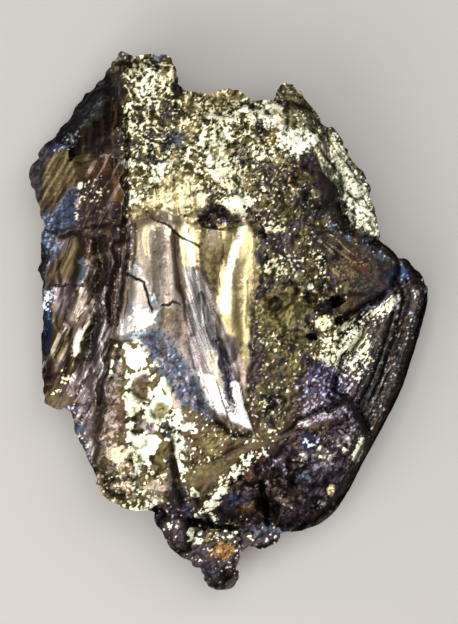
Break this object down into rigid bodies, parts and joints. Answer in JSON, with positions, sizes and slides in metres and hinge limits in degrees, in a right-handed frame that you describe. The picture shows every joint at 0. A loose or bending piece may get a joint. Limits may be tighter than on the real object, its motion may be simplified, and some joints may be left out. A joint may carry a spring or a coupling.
{
  "type": "covellite mineral specimen",
  "caption": "Loose natural specimen of intergrown platy covellite crystals with a brassy pyrite crust, lying on a flat cleavage face at its back",
  "frame": {"origin": "centre of the bounding box in X and Y, at the flat back face that it rests on", "axes": "+Z out of the display face, +Y towards the specimen's top along its height, +X to the right as the display face is looked at"},
  "size_m": [0.0402, 0.054, 0.0152],
  "materials": {
    "covellite": "sub-metallic to bright metallic, tarnished bronze and indigo, with a brassy granular crust"
  },
  "bodies": {
    "root": {"covellite_specimen": "covellite"}
  },
  "joints": []
}
